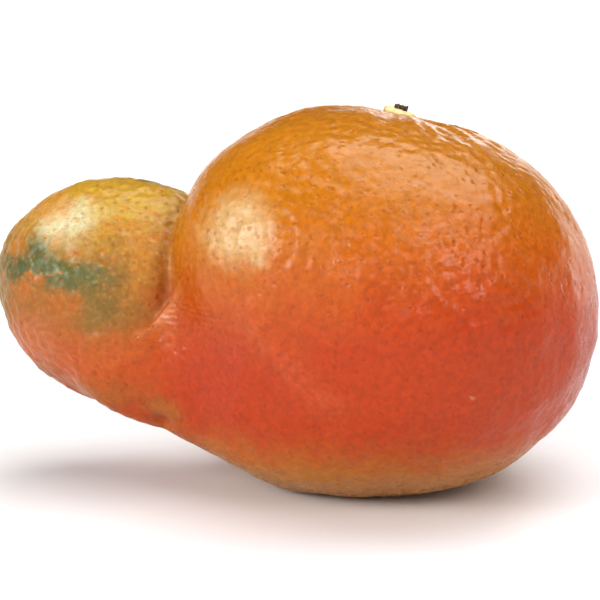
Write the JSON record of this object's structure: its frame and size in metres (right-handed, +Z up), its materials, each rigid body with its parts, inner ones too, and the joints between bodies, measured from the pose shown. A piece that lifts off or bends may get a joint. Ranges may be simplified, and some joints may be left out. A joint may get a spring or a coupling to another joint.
{
  "type": "mandarin",
  "caption": "Whole mandarin orange that grew a smaller side lobe out of one cheek, with a pale calyx collar and a dried stem stub on top, resting on a flat spot.",
  "frame": {"origin": "middle of the flat spot that the fruit rests on", "axes": "+X along the fruit from the small lobe to the round end, +Z up, -Y the side of the swollen cheek"},
  "size_m": [0.1004, 0.068, 0.0645],
  "materials": {
    "rind": "gloss",
    "calyx": "matte",
    "stem": "matte"
  },
  "bodies": {
    "root": {"mandarin": "rind", "calyx": "calyx", "stem_stub": "stem"}
  },
  "joints": []
}
